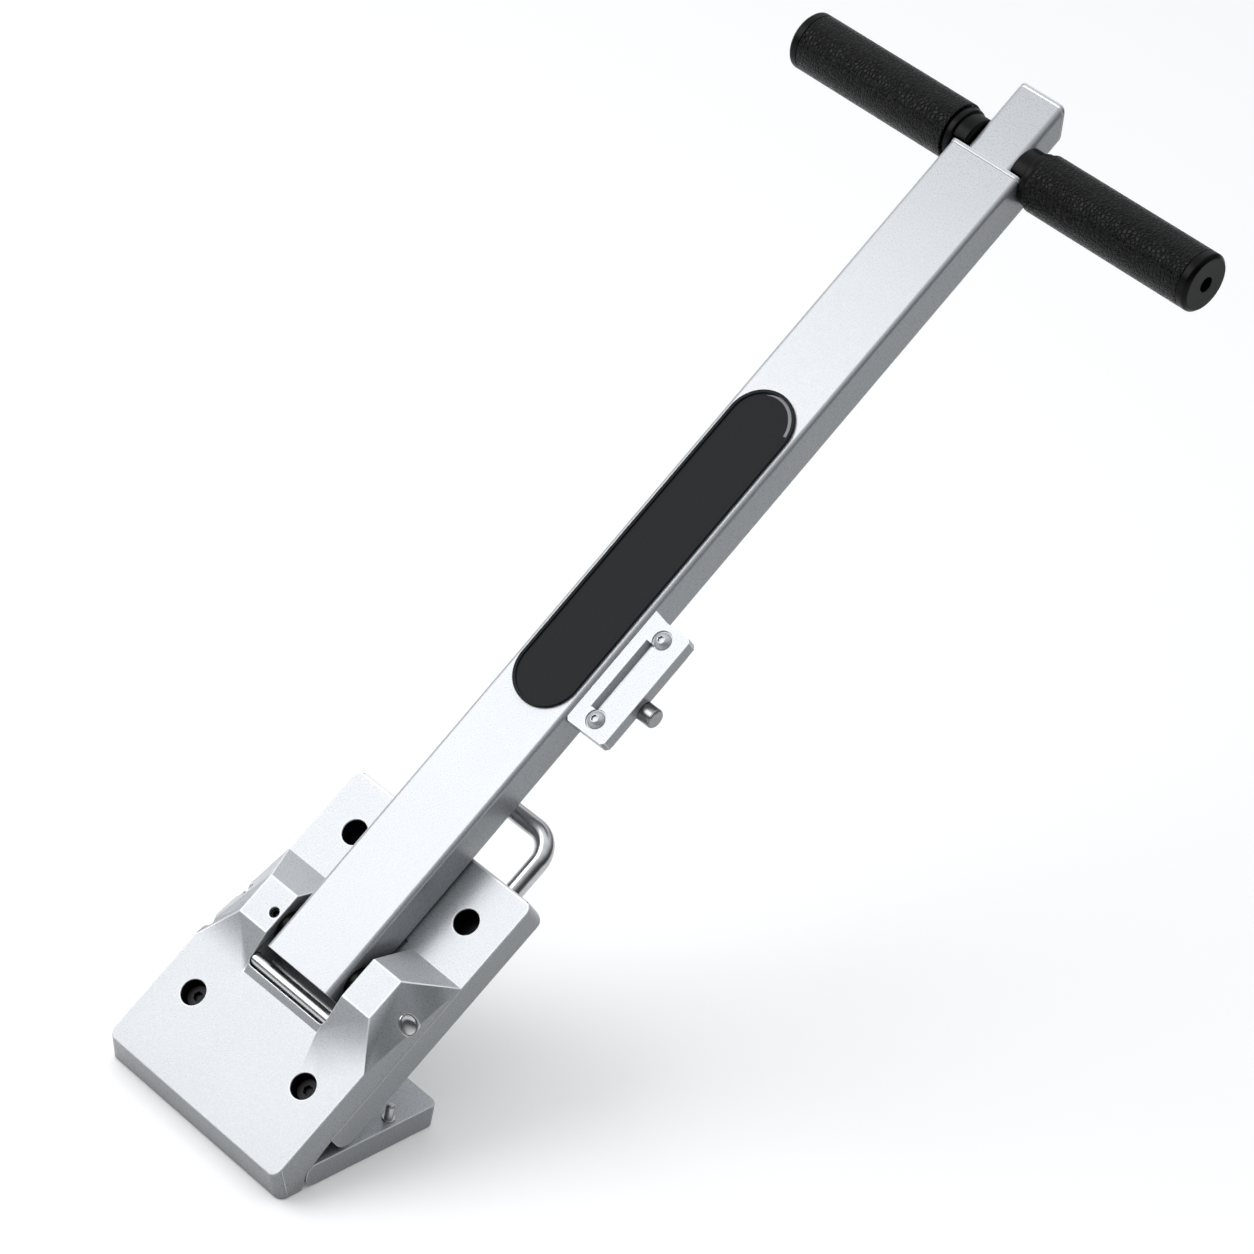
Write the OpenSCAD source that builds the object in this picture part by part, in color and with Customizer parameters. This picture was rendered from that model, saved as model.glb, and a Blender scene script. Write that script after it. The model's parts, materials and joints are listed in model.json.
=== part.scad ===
// Manhole cover lifter: a wedge head on a hinged magnet foot, with a telescopic arm and a T handle.
// X runs across, Y from the nose to the rear, Z up. The origin is the middle of the foot's underside.

/* [Head] */
// Width of the head, the lower block and the foot
head_w = 140; // [132:1:160]
// How far the head's sides lean in at the pad
side_draft = 1.5; // [0:0.5:4]
// Angle between the pad and the ground
tilt = 40; // [38:1:42]
// Length of the flat pad, nose edge to slope
pad_len = 72; // [68:1:76]
// Thickness of the head body above the lower block
body_t = 16; // [15:0.5:18]
// Height of the pad's front edge above the ground
nose_h = 18.4; // [17:0.2:20]
// How far the front face runs back from the pad edge to the ground
nose_rake = 5.8; // [3:0.2:8]
// Radius of the head's front corners
nose_r = 5; // [2:0.5:8]
// From the pad's rear edge to the front of the ear tops
ear_rise_l = 23; // [20:0.5:24]
// Length of the flat on each ear
ear_len = 25.5; // [20:0.5:28]
// Height of the ears above the pad
ear_h = 7; // [4:0.5:9]
// Width of the flat on each ear
ear_w = 22; // [16:0.5:26]
// From the ear tops to the rear pad
ear_fall_l = 18.5; // [17:0.5:25]
// Radius of the pocket's front corners
pocket_r = 3; // [1:0.5:5]
// From the pad's rear edge to the pocket's front wall
pocket_ledge = 4.5; // [3:0.5:5.5]
// Width of the pocket on each side of the tube
pocket_side = 5.5; // [4.5:0.5:6]
// Length of the head's heel on the ground side, in front of the foot
heel_l = 1.2; // [1:0.1:1.5]
// Height of that heel
heel_h = 11.1; // [10.8:0.1:11.4]
// How far that heel leans over the foot's rounded front
heel_lean = 0.2; // [0.1:0.1:0.3]
// Drop of the head's underside at the lower block's front
crook_drop = 1.5; // [1:0.5:2]

/* [Lower block] */
// Thickness of the lower block
block_t = 18.5; // [17:0.5:22]
// Front face of the lower block, from the nose
block_front = 34; // [30:1:38]
// From the rear sockets to the block's rear face
block_tail = 29; // [24:1:40]
// Radius under the block's front edge
block_front_r = 9; // [4:1:12]
// Radius under the block's rear edge
block_rear_r = 4; // [1:1:8]
// Radius of the block's upright rear corners
block_corner_r = 6; // [2:1:12]
// Chamfer along the block's top rear edge
block_chamfer = 1; // [0.5:0.5:3]

/* [Screws and holes] */
// Counterbore of the front screws
counterbore_d = 15; // [14:0.5:18]
// Depth of that counterbore
counterbore_depth = 11.5; // [9:0.5:12]
// Head of the front screws
cap_head_d = 13; // [12:0.5:13.5]
// Height of that head
cap_head_h = 5; // [4:0.5:6]
// Thread of the front screws
cap_screw_d = 8; // [6:1:8]
// Length of the thread under the head
cap_screw_l = 16; // [12:1:18]
// Sideways place of the four holes
hole_x = 45; // [42:1:50]
// Front screws, from the nose
front_hole_v = 46; // [44:1:56]
// From the ears' rear end to the rear sockets
rear_hole_gap = 29; // [20:1:36]
// Bore of the rear sockets
socket_d = 15; // [10:0.5:18]
// Depth of the rear sockets
socket_depth = 14; // [8:1:15]

/* [Pivot] */
// Pivot pin, behind the front of the ear tops
pivot_back = 11; // [9.5:0.5:13.5]
// Pivot pin, below the pad's plane
pivot_drop = 5.5; // [4:0.5:7]
// Diameter of the pivot pin
pivot_d = 10; // [8:0.5:12]
// Half length of the pivot pin
pivot_half = 66; // [62:0.5:67]
// Depth of the dish in each end of the pivot pin
dish_depth = 2.5; // [0.5:0.5:3.5]
// Flat rim round that dish
dish_rim = 0.5; // [0.3:0.1:1.5]
// Wall of the flanged bushes
bush_wall = 2; // [1.5:0.5:3]
// Flange of the bushes
bush_flange_d = 19; // [16:0.5:22]
// Diameter of the set screw that holds the pin
set_screw_d = 6; // [4:0.5:7]
// Length of the set screw
set_screw_l = 5; // [4:0.5:7]
// Wall between the set screw and the pocket
set_screw_wall = 1.8; // [1:0.1:5]
// Diameter of the cross bar in the pocket
bar_d = 8; // [6:0.5:8]
// Gap between the cross bar and the pocket's front wall
bar_gap = 0.5; // [0.3:0.1:1]
// Depth of the cross bar below the pad's plane
bar_drop = 2; // [1.5:0.5:3]
// How deep the cross bar sits in each ear
bar_grip = 5; // [3:0.5:10]

/* [Bail] */
// Diameter of the bail's rod
bail_d = 11; // [8:0.5:12]
// Reach of the bail behind the lower block, to the rod's middle
bail_reach = 34.5; // [28:0.5:50]
// Sideways place of the right leg
bail_right = 49.5; // [40:0.5:55]
// Sideways place of the left leg
bail_left = 39.5; // [30:0.5:50]
// Bend radius of the rod's middle
bail_bend = 15; // [12:0.5:20]
// Depth of the legs in the block
bail_grip = 14; // [8:1:16]

/* [Foot] */
// Thickness of the foot plate
foot_t = 15; // [14:0.5:18]
// Hinge axis behind the pad's front edge
hinge_y = 30.5; // [30:0.1:31]
// Length of the foot behind the hinge axis
foot_len = 86.5; // [70:0.5:110]
// Radius of the foot's upright rear corners
foot_corner_r = 5; // [2:0.5:10]
// Diameter of the hinge pin
hinge_d = 8; // [6:0.5:8]
// How far the hinge pin's open end lies inside the foot's left side
hinge_pin_sink = 2; // [1:0.5:4]
// Wall that covers the hinge pin's other end, at the foot's right side
hinge_end_wall = 8; // [4:1:12]
// Wall of the hinge bushes
hinge_bush_wall = 1.5; // [1:0.25:1.75]
// Radius of the head's hinge lugs
lug_r = 7; // [6.75:0.05:7.1]
// Width of each hinge lug
lug_w = 20; // [14:1:26]
// How far each lug reaches into the head
lug_root = 3; // [1:0.5:4]
// Sideways place of each lug's middle
lug_x = 34; // [30:1:40]
// Diameter of each foot magnet
magnet_d = 25; // [18:1:26]
// Thickness of each foot magnet
magnet_t = 10; // [6:0.5:11]
// Number of magnets across the foot
magnet_columns = 4; // [2:1:4]
// Sideways spacing of the magnets
magnet_pitch_x = 31; // [28:1:33]
// Lengthways spacing of the two rows of magnets
magnet_pitch_y = 34; // [28:1:38]
// How far the magnets lie behind the foot's middle
magnet_back = 6; // [4:1:8]
// How deep each magnet's face lies above the ground
magnet_sink = 0.3; // [0.1:0.1:0.5]
// Diameter of the stud on the foot
stud_d = 5; // [4:0.5:7]
// Height of the stud above the foot
stud_h = 10; // [6:0.5:12]
// Depth of the stud in the foot
stud_grip = 6; // [4:0.5:10]
// Collar at the stud's base
stud_collar_d = 7.5; // [7:0.5:11]
// Height of that collar
stud_collar_h = 1; // [0.5:0.25:3]
// Distance of the stud from the foot's right side
stud_inset = 6; // [5.5:0.5:12]
// Distance of the stud behind the hinge axis
stud_y = 55; // [45:1:65]

/* [Outer tube] */
// Width of the outer tube
tube_w = 50; // [46:0.5:52]
// Depth of the outer tube
tube_d = 25; // [24.5:0.1:25.3]
// Wall of the outer tube
tube_wall = 1.5; // [1.3:0.1:2]
// Length of the outer tube
tube_len = 574.5; // [500:0.5:640]
// Outer corner radius of the tube
tube_r = 3; // [2.7:0.1:5]
// Angle between the tube and the pad
tube_rise = 1.5; // [1.4:0.1:3]
// Pivot pin, from the tube's lower end
pivot_s = 15.5; // [13:0.1:15.6]
// Pivot pin, behind the tube's front face
pivot_depth = 13.9; // [13.7:0.1:14]
// Height of the rim at the tube's top
rim_h = 2.5; // [2:0.1:3]
// Wall of the rim, inside the tube's outline
rim_wall = 2.2; // [2:0.1:2.2]
// How far the rim stands out from the tube
rim_out = 0.4; // [0.2:0.1:0.5]
// Length of the lug on the rim's rear
rim_lug_l = 20; // [12:1:30]
// Width of the lug on the rim's rear
rim_lug_w = 14; // [8:1:24]
// How far that lug stands out
rim_lug_out = 2.5; // [1.5:0.5:4]
// Length of the side guides inside the tube's top
guide_l = 25; // [15:1:40]
// Width of the oval pad on the tube
oval_w = 42; // [34:1:43]
// Lower end of the oval pad, from the tube's lower end
oval_low = 187; // [150:1:220]
// Length of the oval pad
oval_l = 217; // [150:1:260]
// Thickness of the oval pad
oval_t = 2; // [1:0.5:3]
// Width of the raised band round the oval pad
oval_band = 2; // [1:0.5:4]

/* [Lock] */
// Plunger axis, from the tube's lower end
lock_s = 223; // [215:1:232]
// Diameter of the plunger's stem
stem_d = 6; // [5:0.5:6.5]
// Diameter of the plunger's collar
collar_d = 10; // [9:0.5:11]
// Thickness of that collar
collar_t = 3; // [2:0.5:3]
// How far the plunger's tip reaches through the inner tube's wall
tip_reach = 0.5; // [0.2:0.1:1]
// Travel of the plunger
plunger_travel = 6; // [5:0.5:6.5]
// Length of the spring when the plunger is pulled out
spring_solid = 3; // [2.5:0.5:4]
// Diameter of the plunger's knob
knob_d = 11.5; // [10:0.5:12]
// Length of the plunger's knob
knob_l = 15.5; // [12:0.5:20]
// Wire of the spring
spring_wire = 1; // [0.8:0.1:1.2]
// Width of the lock housing
housing_w = 21; // [20.5:0.5:23]
// Length of the lock housing
housing_l = 64; // [60:1:68]
// Depth of the lock housing under the cover
housing_d = 14; // [12:0.5:15]
// Wall between the housing's spring chamber and the tube
housing_wall = 2.5; // [2:0.5:3]
// Middle of the cover, from the tube's lower end
cover_s = 230; // [228:1:232]
// Width of the lock cover
cover_w = 29; // [27:0.5:34]
// Length of the lock cover
cover_l = 74; // [70:1:80]
// Thickness of the lock cover
cover_t = 8.5; // [7:0.5:9]
// How far the cover lies below the tube's front face
cover_drop = 1.5; // [1:0.5:3]
// Corner cut of the cover
cover_cut = 2; // [1:0.5:4]
// Width of the strip beside the tube where the cover's upper end stands higher
cover_strip = 10; // [6:0.5:14]
// How much higher that strip's end is at the tube
cover_rise = 2; // [0.5:0.5:4]
// Width of the groove in the cover
groove_w = 5.5; // [4:0.5:6]
// How far the groove's wall on the tube side slopes in
groove_slope = 2.5; // [0.5:0.5:3]
// Length of the groove in the cover
groove_l = 46; // [30:1:46]
// Depth of the groove in the cover
groove_depth = 4; // [2:0.5:5]
// Middle of the groove, out from the tube's side
groove_x = 10; // [8:0.5:12]
// Head of the lock screws
button_d = 10.5; // [9:0.5:11.5]
// Height of that head
button_h = 3.3; // [2.5:0.1:4]
// How deep that head sits in the cover
button_sink = 1; // [0.5:0.25:1.5]
// Gap round the head in the cover
button_gap = 0.6; // [0.4:0.1:0.8]
// Thread of the lock screws
lock_screw_d = 6; // [4:0.5:6]
// Length of the lock screws under the head
lock_screw_l = 18; // [14:1:20]
// Spacing of the lock screws
lock_screw_pitch = 55; // [54:0.5:56]
// Lock screws, out from the tube's side
lock_screw_x = 15; // [13:0.5:16]

/* [Inner tube] */
// Width of the inner tube
inner_w = 33; // [30:0.5:36]
// Depth of the inner tube
inner_d = 20; // [19:0.1:20.4]
// Wall of the inner tube
inner_wall = 1.3; // [1.2:0.1:2]
// Outer corner radius of the inner tube
inner_r = 4; // [3:0.5:5]
// Lower end of the inner tube, from the outer tube's lower end
inner_low = 50; // [40:1:52]
// How far the inner tube stands above the outer tube's rim
inner_out = 48.5; // [40:0.5:80]
// Thickness of the inner tube's cap
cap_t = 3; // [2:0.5:5]
// Depth of the cap's plug
cap_plug = 6; // [4:1:8]
// Angle of the inner tube's end, which slopes down to the rear
top_slant = 33; // [1:1:35]
// Stroke of the telescope
stroke = 150; // [100:1:150]
// Length of the guide shoes at the inner tube's foot
shoe_l = 16; // [12:1:17]

/* [Handle] */
// Diameter of the handle bar
handle_d = 12; // [11:0.5:14.5]
// Wall of the handle bar
handle_wall = 2; // [1.5:0.5:3.5]
// Half length of the handle over its end caps
handle_half = 148; // [120:1:180]
// Diameter of the grips
grip_d = 35; // [32:0.5:38]
// Thickness of the grips' rubber sleeves
sleeve_t = 3; // [2.5:0.5:6]
// Wall of the spools inside the grips
spool_wall = 2; // [1.5:0.5:3]
// Number of rings on each spool
spool_rings = 4; // [3:1:6]
// Thickness of those rings
spool_ring_t = 3; // [2:0.5:5]
// Length of each end cap
end_cap_l = 6.5; // [4:0.5:10]
// Chamfer of each end cap
end_cap_edge = 2; // [0.5:0.5:2.5]
// Diameter of the hole in each end cap's middle
end_hole = 9; // [2:0.5:10]
// Depth of that hole
end_hole_depth = 4; // [1:0.5:5]
// Length of each end cap's spigot, in line with the handle bar
cap_spigot_l = 2.4; // [2:0.2:4]
// Diameter of the collars' necks, cut flat above the outer tube's rim
neck_d = 29; // [24:0.5:30]
// Thickness of each neck's wall at that flat, under the handle bar
neck_wall = 1.2; // [1:0.1:5]
// Diameter of the collars' flanges
flange_d = 32; // [30:0.5:33]
// Thickness of the collars' flanges
flange_t = 5.2; // [3:0.1:5.2]
// Diameter of the pin that fixes the handle bar
handle_pin_d = 4; // [3:0.5:5]
// Depth of that pin under the inner tube's rear face
handle_pin_sink = 0.5; // [0.2:0.1:0.8]

/* [Clearances] */
// Play around pins that turn in their bushes, on the radius
running = 0.05; // [0.02:0.01:0.1]
// Play around fixed screws and plugs, on the radius
fixed_play = 0.05; // [0.02:0.01:0.1]
// Play around the sliding plunger, on the radius
plunger_play = 0.2; // [0.1:0.05:0.3]
// Gap between moving faces
face_gap = 0.3; // [0.2:0.05:0.4]
// Gap at the foot's stop faces
stop_gap = 0.15; // [0.1:0.05:0.3]
// Gap between the head and the foot's rounded front
hinge_gap = 0.6; // [0.4:0.1:0.8]
// Gap between the handle's collars and the outer tube's rim
collar_gap = 0.4; // [0.3:0.1:1]
// Gap round the arm's lower end as it turns in the lower block
channel_gap = 1.2; // [1:0.1:1.5]

/* [Hidden] */
$fn = 64;
bolt_play = 0.6;
socket_ratio = 0.69;
over = 1;
edge = 1;
half_w = head_w / 2;
pocket_half = tube_w / 2 + pocket_side;
pocket_front = pad_len + pocket_ledge;
ear_front = pad_len + ear_rise_l;
pivot_v = ear_front + pivot_back;
valley = ear_front + ear_len + ear_fall_l;
rear_hole_v = valley + rear_hole_gap;
block_rear = rear_hole_v + block_tail;
set_screw_x = pocket_half + set_screw_wall + set_screw_d / 2;
hinge_r = foot_t / 2;
foot_rear = hinge_y + foot_len;
foot_mid = hinge_y + foot_len / 2;
cavity_w = tube_w - 2 * tube_wall;
cavity_d = tube_d - 2 * tube_wall;
rim_top = tube_len + rim_h;
handle_up = handle_d / 2 + fixed_play + neck_wall + collar_gap;
handle_s = rim_top + handle_up;
inner_top = rim_top + inner_out;
bar_v = pocket_front + bar_gap + bar_d / 2;
ear_slope = ear_h / ear_rise_l;
bush_r = pivot_d / 2 + running + bush_wall;
grip_start = tube_w / 2 + rim_out + collar_gap + flange_t;
grip_end = handle_half - end_cap_l;
spring_l = plunger_travel + spring_solid;
tube_dip = pivot_drop + (tube_d - pivot_depth) / cos(tube_rise) - body_t;
relief_depth = max(0.1, tube_dip + face_gap);
chamber_start = tube_w / 2 + housing_wall;
collar_start = chamber_start + stop_gap;
spring_start = collar_start + collar_t;
chamber_end = spring_start + spring_l;
stem_end = tube_w / 2 + housing_w + edge;
tip_end = inner_w / 2 - inner_wall - tip_reach;
inner_front = (inner_d - tube_d) / 2;
slant_drop = inner_d * tan(top_slant);
slot_w = stem_d + 4 * plunger_play;
cover_top = -cover_drop;
cover_under = cover_top - cover_t;

// Head frame: Y along the pad, Z square to it, zero at the pad's front edge
function to_head(y, z) = [
  y * cos(tilt) + (z - nose_h) * sin(tilt),
  -y * sin(tilt) + (z - nose_h) * cos(tilt)
];
function arc(c, r, a0, a1, n = 8) = [
  for (i = [0:n]) c + r * [cos(a0 + (a1 - a0) * i / n), sin(a0 + (a1 - a0) * i / n)]
];

hinge_hd = to_head(hinge_y, hinge_r);
nose_foot = to_head(nose_rake, 0);
heel_foot = to_head(hinge_y - hinge_r - hinge_gap - heel_l, 0);
heel_top = to_head(hinge_y - hinge_r - hinge_gap + heel_lean, heel_h);
crook = [block_front, -body_t - crook_drop];
under_dir = (crook - heel_top) / norm(crook - heel_top);
under_normal = [-under_dir[1], under_dir[0]];
under_angle = atan2(under_dir[1], under_dir[0]) + tilt;
under_dist = (heel_top - hinge_hd) * under_normal;

module to_origin() { translate([0, -foot_mid, 0]) children(); }
module head_place() { to_origin() translate([0, 0, nose_h]) rotate([tilt, 0, 0]) children(); }
module arm_place() {
  head_place() translate([0, pivot_v, -pivot_drop]) rotate([tube_rise, 0, 0])
    translate([0, -pivot_s, pivot_depth]) children();
}
// Turns an outline in (Y, Z) into a solid across X
module across(width) { rotate([90, 0, 90]) linear_extrude(width, center = true) children(); }
module rod_x(x0, x1, r) { translate([x0, 0, 0]) rotate([0, 90, 0]) cylinder(h = x1 - x0, r = r); }
module round_box_2d(w, d, r) {
  square([w - 2 * r, d], center = true);
  square([w, d - 2 * r], center = true);
  for (x = [-1, 1], y = [-1, 1]) translate([x * (w / 2 - r), y * (d / 2 - r)]) circle(r);
}
// A rectangular tube or bar along the arm, its middle at the outer tube's mid depth
module along_arm(s0, s1) {
  translate([0, s0, -tube_d / 2]) rotate([-90, 0, 0]) linear_extrude(s1 - s0) children();
}
module hex_socket(d, depth) {
  translate([0, 0, -depth]) cylinder(h = depth + over, d = d * socket_ratio, $fn = 6);
}
module cap_screw(head_d, head_h, d, l) {
  difference() {
    union() {
      cylinder(h = head_h, d = head_d);
      translate([0, 0, -l]) cylinder(h = l + over, d = d);
    }
    translate([0, 0, head_h]) hex_socket(d, head_h / 2);
  }
}
module button_screw(head_d, head_h, d, l) {
  sphere_r = (head_d * head_d / 4 + head_h * head_h) / (2 * head_h);
  difference() {
    union() {
      intersection() {
        translate([0, 0, head_h - sphere_r]) sphere(sphere_r);
        cylinder(h = head_h + over, d = head_d);
      }
      translate([0, 0, -l]) cylinder(h = l + head_h / 2, d = d);
    }
    translate([0, 0, head_h]) hex_socket(d, head_h / 2);
  }
}

// The foot, in the ground frame
module foot_outline() {
  c = [hinge_y, hinge_r];
  reach = under_dist - stop_gap;
  n = [-sin(under_angle), cos(under_angle)];
  top = [hinge_y + (reach - n[1] * hinge_r) / n[0], foot_t];
  polygon(concat(
    [[foot_rear, 0], [foot_rear, foot_t], top],
    arc(c, reach, under_angle + 90, 180 - acos(hinge_r / reach), 4),
    arc(c, hinge_r, 180, 270, 12)));
}
module foot_plan() {
  r = foot_corner_r;
  polygon(concat(
    [[-half_w, hinge_y - hinge_r - over], [half_w, hinge_y - hinge_r - over]],
    arc([half_w - r, foot_rear - r], r, 0, 90),
    arc([-half_w + r, foot_rear - r], r, 90, 180)));
}
module lug_slot() {
  n = [-sin(under_angle), cos(under_angle)];
  t = [cos(under_angle), sin(under_angle)];
  c = [hinge_y, hinge_r];
  side = lug_r + stop_gap;
  far = 3 * hinge_r;
  across(lug_w + 2 * face_gap) {
    translate(c) circle(lug_r + face_gap);
    polygon([c + side * t, c + side * t + far * n, c - far * t + far * n,
      [hinge_y - far, -over], [hinge_y, -over], c]);
  }
}
module foot_plate() {
  color("lightsteelblue") to_origin() difference() {
    intersection() {
      across(head_w) foot_outline();
      linear_extrude(foot_t) foot_plan();
    }
    for (side = [-1, 1]) translate([side * lug_x, 0, 0]) lug_slot();
    translate([0, hinge_y, hinge_r])
      rod_x(-half_w - over, half_w - hinge_end_wall + fixed_play, hinge_d / 2 + fixed_play);
    magnet_places() translate([0, 0, -over])
      cylinder(h = magnet_t + over + 2 * fixed_play, d = magnet_d + 2 * fixed_play);
    stud_place() translate([0, 0, -stud_grip - fixed_play])
      cylinder(h = stud_grip + over, d = stud_d + 2 * fixed_play);
  }
}
module magnet_places() {
  middle = (magnet_columns - 1) / 2;
  row_mid = foot_mid + magnet_back;
  for (i = [0:magnet_columns - 1], row = [-1, 1])
    translate([(i - middle) * magnet_pitch_x, row_mid + row * magnet_pitch_y / 2, 0]) children();
}
module foot_magnets() {
  color("dimgray") to_origin() magnet_places()
    translate([0, 0, magnet_sink]) cylinder(h = magnet_t - magnet_sink, d = magnet_d);
}
module stud_place() {
  translate([half_w - stud_inset, hinge_y + stud_y, foot_t]) children();
}
module foot_stud() {
  color("gainsboro") to_origin() stud_place() {
    translate([0, 0, -stud_grip]) cylinder(h = stud_grip + stud_h - edge, d = stud_d);
    cylinder(h = stud_collar_h, d = stud_collar_d);
    translate([0, 0, stud_h - edge]) cylinder(h = edge, d1 = stud_d, d2 = stud_d - 2 * edge);
  }
}
module foot_hinge_pin() {
  color("silver") to_origin() translate([0, hinge_y, hinge_r])
    rod_x(-half_w + hinge_pin_sink, half_w - hinge_end_wall, hinge_d / 2);
}

// The head, in the head frame
module corner_cut() {
  difference() {
    translate([-nose_r, -over, 0]) square([nose_r + over, nose_r + over]);
    translate([-nose_r, nose_r]) circle(nose_r);
  }
}
module nose_block() {
  long = 4 * nose_h;
  draft_angle = atan2(side_draft, -nose_foot[1]);
  lean = atan2(-nose_foot[0], -nose_foot[1]);
  skew = atan2(side_draft, norm(nose_foot));
  difference() {
    across(head_w) polygon([
      [0, 0], [pad_len, 0], [pad_len, -body_t], [block_front, -body_t],
      crook, heel_top, heel_foot, nose_foot]);
    for (side = [0, 1]) mirror([side, 0, 0]) translate([half_w - side_draft, 0, 0]) {
      rotate([0, -draft_angle, 0]) translate([0, -long, -long]) cube([nose_r, 3 * long, 2 * long]);
      rotate([-lean, 0, 0]) rotate([0, -skew, 0]) translate([0, 0, -long])
        linear_extrude(2 * long) corner_cut();
    }
  }
}
module ear_points(side) {
  top_in = pocket_half - over;
  top_out = pocket_half + ear_w;
  low_out = half_w - side_draft * (1 - body_t / -nose_foot[1]);
  start = pad_len - over;
  pts = [
    [top_in, start, -body_t], [low_out, start, -body_t], [low_out, valley, -body_t], [top_in, valley, -body_t],
    [top_in, start, 0], [half_w - side_draft, start, 0],
    [top_in, pad_len, 0], [half_w - side_draft, pad_len, 0],
    [top_in, ear_front, ear_h], [top_out, ear_front, ear_h],
    [top_out, ear_front + ear_len, ear_h], [top_in, ear_front + ear_len, ear_h]];
  mirror([side < 0 ? 1 : 0, 0, 0]) hull() polyhedron(pts, [[for (i = [0:len(pts) - 1]) i]]);
}
module pocket_cut() {
  low = -body_t - over;
  high = body_t + ear_h + over;
  translate([-pocket_half + pocket_r, pocket_front, low]) cube([2 * (pocket_half - pocket_r), valley, high]);
  translate([-pocket_half, pocket_front + pocket_r, low]) cube([2 * pocket_half, valley, high]);
  for (side = [-1, 1]) translate([side * (pocket_half - pocket_r), pocket_front + pocket_r, low])
    cylinder(h = high, r = pocket_r);
}
module lug() {
  up = under_dist + lug_root;
  n = under_normal;
  t = under_dir;
  across(lug_w) {
    translate(hinge_hd) circle(lug_r);
    polygon([
      hinge_hd + lug_r * t, hinge_hd + lug_r * t + up * n,
      hinge_hd - lug_r * t + up * n, hinge_hd - lug_r * t]);
  }
}
module pivot_place() { translate([0, pivot_v, -pivot_drop]) children(); }
module front_hole_places() {
  for (side = [-1, 1]) translate([side * hole_x, front_hole_v, 0]) children();
}
module head_body() {
  wedge_top = (pocket_front + over - pad_len) * ear_slope;
  color("aliceblue") head_place() difference() {
    union() {
      nose_block();
      across(2 * pocket_half + 2 * over) polygon([
        [pad_len - over, -body_t], [pad_len - over, 0], [pad_len, 0],
        [pocket_front + over, wedge_top], [pocket_front + over, -body_t]]);
      for (side = [-1, 1]) {
        ear_points(side);
        translate([side * lug_x, 0, 0]) lug();
      }
    }
    pocket_cut();
    front_hole_places() {
      translate([0, 0, -counterbore_depth]) cylinder(h = counterbore_depth + over, d = counterbore_d);
      translate([0, 0, -body_t - over]) cylinder(h = body_t + over, d = cap_screw_d + bolt_play);
    }
    pivot_place() rod_x(-half_w - over, half_w + over, pivot_d / 2 + fixed_play);
    translate([0, bar_v, -bar_drop])
      rod_x(-half_w - over, pocket_half + bar_grip + fixed_play, bar_d / 2 + fixed_play);
    translate([-set_screw_x, pivot_v, -pivot_drop])
      cylinder(h = pivot_drop + ear_h + over, d = set_screw_d + 2 * fixed_play);
    translate([0, hinge_hd[0], hinge_hd[1]])
      rod_x(-half_w, half_w, hinge_d / 2 + running + hinge_bush_wall + fixed_play);
  }
}
module hinge_bushes() {
  color("darkgoldenrod") head_place() for (side = [-1, 1])
    translate([side * lug_x, hinge_hd[0], hinge_hd[1]]) difference() {
      rod_x(-lug_w / 2, lug_w / 2, hinge_d / 2 + running + hinge_bush_wall);
      rod_x(-lug_w / 2 - over, lug_w / 2 + over, hinge_d / 2 + running);
    }
}
module block_outline() {
  low = -body_t - block_t;
  polygon(concat(
    [[block_front, -body_t]],
    arc([block_front + block_front_r, low + block_front_r], block_front_r, 180, 270),
    arc([block_rear - block_rear_r, low + block_rear_r], block_rear_r, 270, 360),
    [[block_rear, -body_t - block_chamfer], [block_rear - block_chamfer, -body_t]]));
}
module block_plan() {
  r = block_corner_r;
  polygon(concat(
    [[-half_w, block_front - over], [half_w, block_front - over]],
    arc([half_w - r, block_rear - r], r, 0, 90),
    arc([-half_w + r, block_rear - r], r, 90, 180)));
}
module lower_block() {
  color("lightsteelblue") head_place() difference() {
    intersection() {
      across(head_w) block_outline();
      translate([0, 0, -body_t - block_t - over]) linear_extrude(block_t + 2 * over) block_plan();
    }
    pivot_place() rod_x(-pocket_half, pocket_half, norm([pivot_s, pivot_depth]) + channel_gap);
    translate([-tube_w / 2 - face_gap, pivot_v, -body_t - relief_depth])
      cube([tube_w + 2 * face_gap, relief_depth / tan(tube_rise), relief_depth + over]);
    front_hole_places() translate([0, 0, -counterbore_depth - cap_screw_l - over])
      cylinder(h = cap_screw_l, d = cap_screw_d + 2 * fixed_play);
    for (side = [-1, 1]) translate([side * hole_x, rear_hole_v, -body_t - socket_depth])
      cylinder(h = socket_depth + over, d = socket_d);
    bail_legs(bail_grip + fixed_play, bail_d / 2 + fixed_play);
  }
}
module front_cap_screws() {
  color("dimgray") head_place() front_hole_places()
    translate([0, 0, -counterbore_depth]) cap_screw(cap_head_d, cap_head_h, cap_screw_d, cap_screw_l);
}
module cross_bar() {
  color("silver") head_place() translate([0, bar_v, -bar_drop])
    rod_x(-pocket_half - bar_grip, pocket_half + bar_grip, bar_d / 2);
}
module pivot_pin() {
  chord = pivot_d / 2 - dish_rim;
  dish_r = (chord * chord + dish_depth * dish_depth) / (2 * dish_depth);
  color("silver") head_place() pivot_place() difference() {
    rod_x(-pivot_half, pivot_half, pivot_d / 2);
    for (side = [-1, 1]) translate([side * (pivot_half - dish_depth + dish_r), 0, 0]) sphere(dish_r);
  }
}
module pivot_set_screw() {
  low = -pivot_drop + pivot_d / 2 + fixed_play;
  color("dimgray") head_place() translate([-set_screw_x, pivot_v, low]) difference() {
    cylinder(h = set_screw_l, d = set_screw_d);
    translate([0, 0, set_screw_l]) hex_socket(set_screw_d, set_screw_l / 2);
  }
}
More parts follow.
